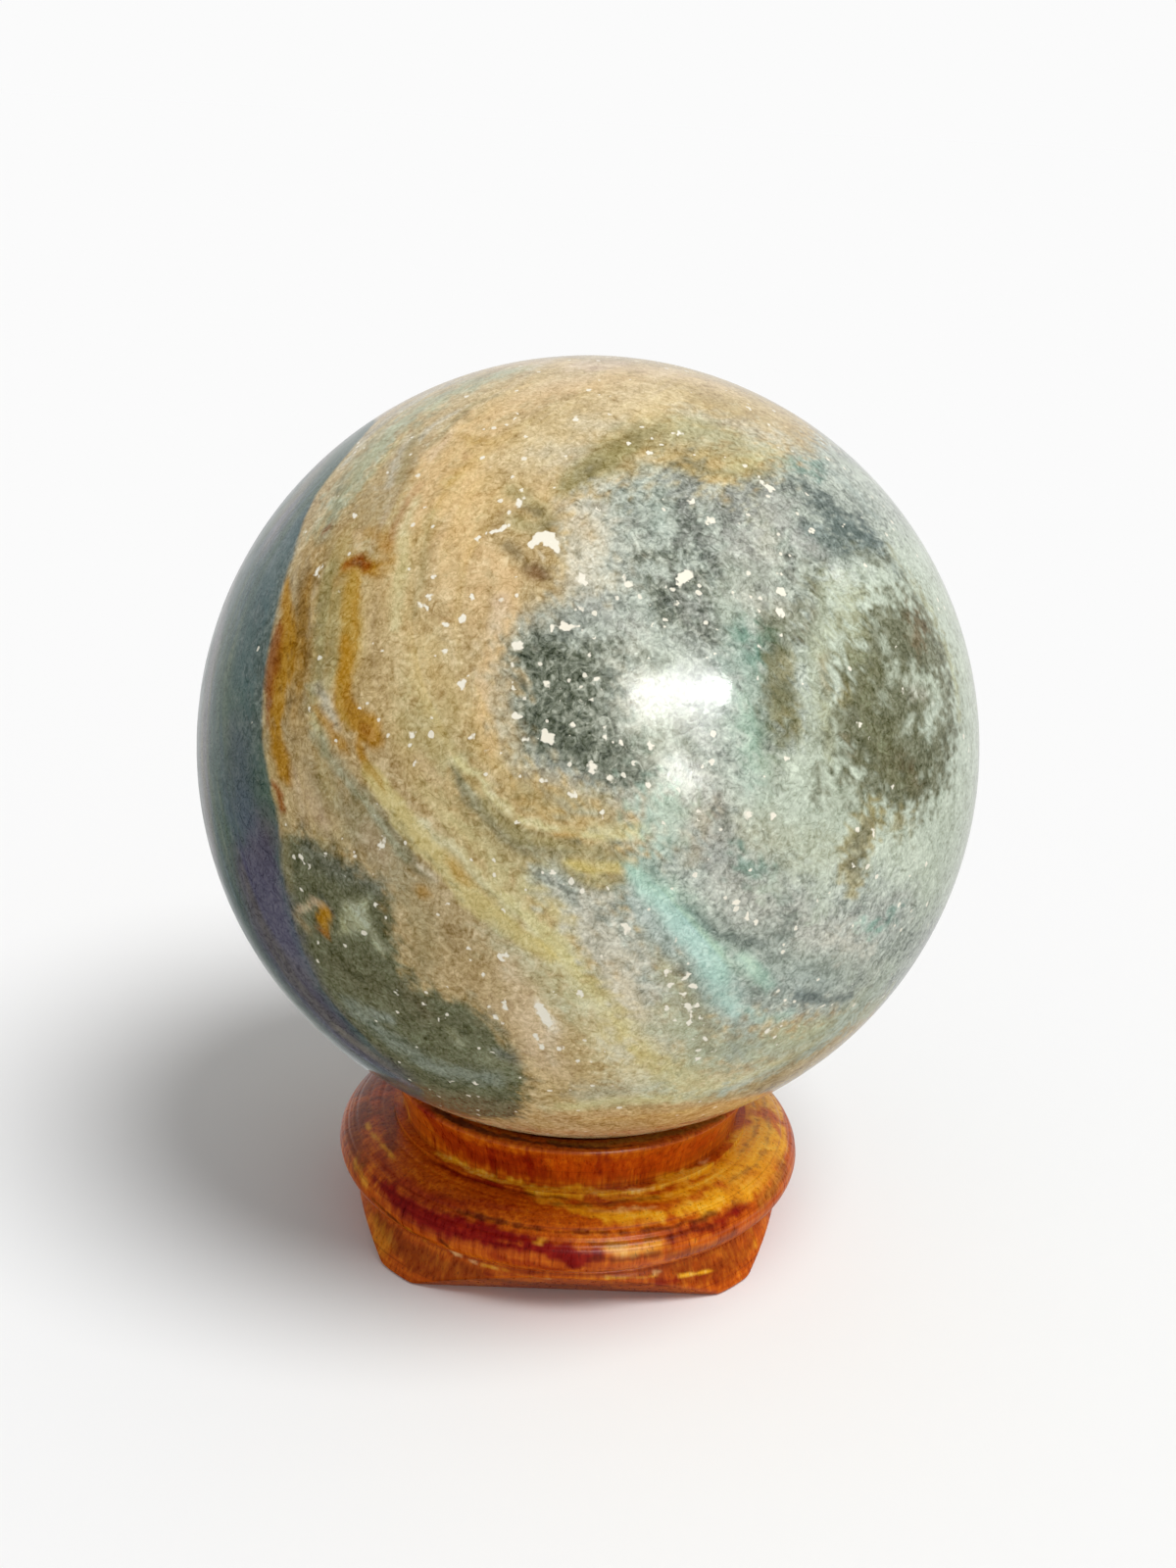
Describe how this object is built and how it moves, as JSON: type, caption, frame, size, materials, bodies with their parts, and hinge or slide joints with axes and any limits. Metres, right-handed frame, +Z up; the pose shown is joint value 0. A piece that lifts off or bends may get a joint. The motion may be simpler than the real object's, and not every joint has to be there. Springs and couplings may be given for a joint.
{
  "type": "polished stone sphere on a turned wooden stand",
  "caption": "Polished multicoloured stone ball resting in the dish of a small turned, varnished wooden stand with a collar neck, a fat bead and a square-planed foot.",
  "frame": {"origin": "on the stand's axis, at the middle of its underside", "axes": "+Z up through the stand and the ball, -Y towards the side that the picture shows"},
  "size_m": [0.076, 0.076, 0.0885],
  "materials": {
    "polished_stone": "polished, mottled green, cream, rust and slate",
    "red_varnished_wood": "turned, stained red-orange and varnished, worn along its edges"
  },
  "bodies": {
    "root": {"stone_sphere": "polished_stone", "wooden_stand": "red_varnished_wood"}
  },
  "joints": []
}
